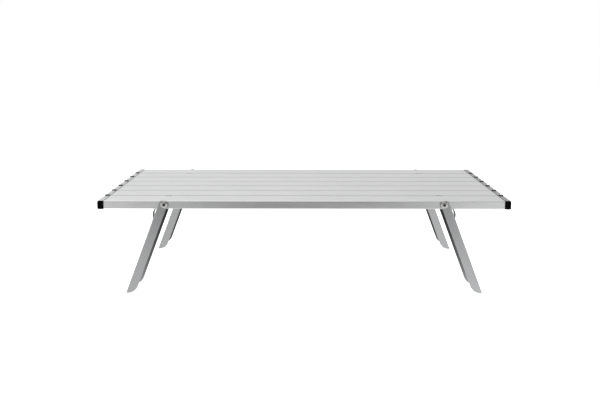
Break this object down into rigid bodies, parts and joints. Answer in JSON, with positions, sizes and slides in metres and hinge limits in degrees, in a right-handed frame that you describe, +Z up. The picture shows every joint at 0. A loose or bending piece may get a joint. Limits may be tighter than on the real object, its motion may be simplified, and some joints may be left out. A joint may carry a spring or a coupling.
{
  "type": "folding camp table",
  "caption": "Low folding table with a slatted aluminium top between end rails, on splayed channel legs that turn on riveted pivots and fold flat over the edge slats.",
  "frame": {"origin": "on the floor, under the centre of the top, with the legs open", "axes": "+X along the table to the right, -Y toward the front edge, +Z up"},
  "size_m": [0.6, 0.4104, 0.1376],
  "materials": {
    "slat_aluminium": "satin anodised",
    "rail_aluminium": "satin anodised",
    "leg_aluminium": "brushed",
    "steel": "polished",
    "spring_steel": "bright rolled",
    "black_plastic": "fine matt"
  },
  "bodies": {
    "table_top": {"slat_1": "slat_aluminium", "slat_2": "slat_aluminium", "slat_3": "slat_aluminium", "slat_4": "slat_aluminium", "slat_5": "slat_aluminium", "slat_6": "slat_aluminium", "slat_7": "slat_aluminium", "end_rail_left": "rail_aluminium", "end_rail_right": "rail_aluminium", "joiner_left": "black_plastic", "joiner_right": "black_plastic", "rail_plug_front_left": "black_plastic", "rail_plug_front_right": "black_plastic", "rail_plug_back_left": "black_plastic", "rail_plug_back_right": "black_plastic", "end_screw_left_1": "steel", "end_screw_left_2": "steel", "end_screw_left_3": "steel", "end_screw_left_4": "steel", "end_screw_left_5": "steel", "end_screw_left_6": "steel", "end_screw_right_1": "steel", "end_screw_right_2": "steel", "end_screw_right_3": "steel", "end_screw_right_4": "steel", "end_screw_right_5": "steel", "end_screw_right_6": "steel", "pivot_pin_front_left": "steel", "pivot_pin_front_right": "steel", "pivot_pin_back_left": "steel", "pivot_pin_back_right": "steel", "pivot_washer_front_left": "spring_steel", "pivot_washer_front_right": "spring_steel", "pivot_washer_back_left": "spring_steel", "pivot_washer_back_right": "spring_steel", "pivot_cap_front_left": "black_plastic", "pivot_cap_front_right": "black_plastic", "pivot_cap_back_left": "black_plastic", "pivot_cap_back_right": "black_plastic"},
    "leg_front_left": {"leg_front_left": "leg_aluminium"},
    "catch_front_left": {"leaf_catch_front_left": "spring_steel", "catch_rivet_front_left": "steel"},
    "leg_front_right": {"leg_front_right": "leg_aluminium"},
    "catch_front_right": {"leaf_catch_front_right": "spring_steel", "catch_rivet_front_right": "steel"},
    "leg_back_left": {"leg_back_left": "leg_aluminium"},
    "catch_back_left": {"leaf_catch_back_left": "spring_steel", "catch_rivet_back_left": "steel"},
    "leg_back_right": {"leg_back_right": "leg_aluminium"},
    "catch_back_right": {"leaf_catch_back_right": "spring_steel", "catch_rivet_back_right": "steel"}
  },
  "joints": [
    {"name": "leg_front_left_fold", "type": "hinge", "parent": "table_top", "child": "leg_front_left", "pos_m": [-0.203, -0.17188, 0.1305], "axis": [0, -1, 0], "range_deg": [0, 110.7]},
    {"name": "catch_front_left_press", "type": "hinge", "parent": "leg_front_left", "child": "catch_front_left", "pos_m": [-0.2233, -0.17188, 0.10182], "axis": [0, 1, 0], "range_deg": [0, 4], "stiffness_Nm_per_rad": 1.2},
    {"name": "leg_front_right_fold", "type": "hinge", "parent": "table_top", "child": "leg_front_right", "pos_m": [0.203, -0.17188, 0.1305], "axis": [0, 1, 0], "range_deg": [0, 110.7]},
    {"name": "catch_front_right_press", "type": "hinge", "parent": "leg_front_right", "child": "catch_front_right", "pos_m": [0.2233, -0.17188, 0.10182], "axis": [0, -1, 0], "range_deg": [0, 4], "stiffness_Nm_per_rad": 1.2},
    {"name": "leg_back_left_fold", "type": "hinge", "parent": "table_top", "child": "leg_back_left", "pos_m": [-0.203, 0.17188, 0.1305], "axis": [0, -1, 0], "range_deg": [0, 110.7]},
    {"name": "catch_back_left_press", "type": "hinge", "parent": "leg_back_left", "child": "catch_back_left", "pos_m": [-0.2233, 0.17188, 0.10182], "axis": [0, 1, 0], "range_deg": [0, 4], "stiffness_Nm_per_rad": 1.2},
    {"name": "leg_back_right_fold", "type": "hinge", "parent": "table_top", "child": "leg_back_right", "pos_m": [0.203, 0.17188, 0.1305], "axis": [0, 1, 0], "range_deg": [0, 110.7]},
    {"name": "catch_back_right_press", "type": "hinge", "parent": "leg_back_right", "child": "catch_back_right", "pos_m": [0.2233, 0.17188, 0.10182], "axis": [0, -1, 0], "range_deg": [0, 4], "stiffness_Nm_per_rad": 1.2}
  ]
}
